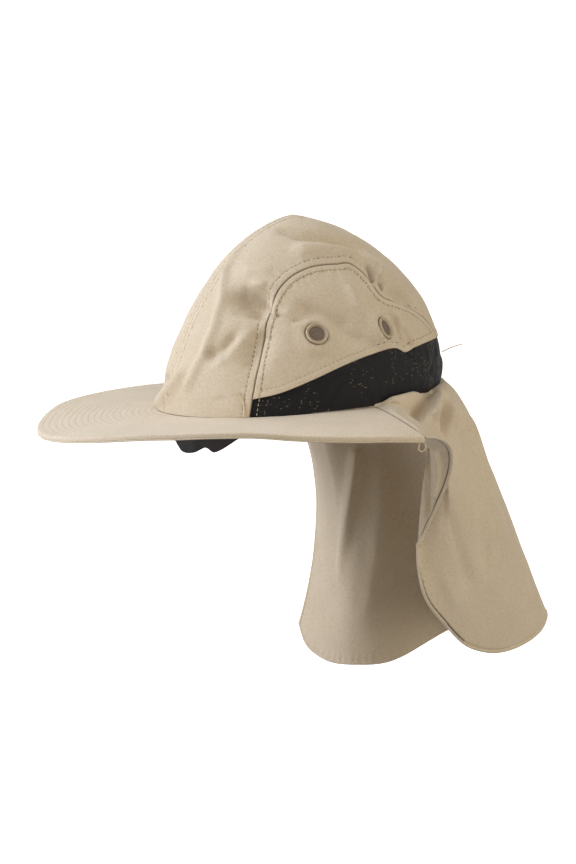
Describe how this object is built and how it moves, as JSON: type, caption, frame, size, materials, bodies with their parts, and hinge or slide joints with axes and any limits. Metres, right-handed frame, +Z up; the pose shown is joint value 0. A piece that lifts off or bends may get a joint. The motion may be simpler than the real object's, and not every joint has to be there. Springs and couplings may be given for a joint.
{
  "type": "sun hat with neck cape",
  "caption": "Soft sun hat with a paneled crown, a black mesh band, a stiff rounded brim with a long bill and a hemmed cape that hangs over the neck.",
  "frame": {"origin": "middle of the head opening, level with the underside of the brim where it meets the crown", "axes": "+Z up through the crown, -Y towards the bill, +X to the wearer's left"},
  "size_m": [0.3058, 0.3662, 0.36],
  "materials": {
    "tan_cloth": "matte woven nylon",
    "dark_cloth": "matte",
    "black_mesh": "open knitted mesh",
    "vent_metal": "satin",
    "vent_gauze": "fine gauze"
  },
  "bodies": {
    "root": {"crown_top_left": "tan_cloth", "crown_side_left": "tan_cloth", "mesh_band_left": "black_mesh", "vent_ring_front_left": "vent_metal", "vent_screen_front_left": "vent_gauze", "vent_ring_rear_left": "vent_metal", "vent_screen_rear_left": "vent_gauze", "crown_top_right": "tan_cloth", "crown_side_right": "tan_cloth", "mesh_band_right": "black_mesh", "vent_ring_front_right": "vent_metal", "vent_screen_front_right": "vent_gauze", "vent_ring_rear_right": "vent_metal", "vent_screen_rear_right": "vent_gauze", "brim": "tan_cloth", "sweatband": "dark_cloth", "neck_cape": "tan_cloth"}
  },
  "joints": []
}
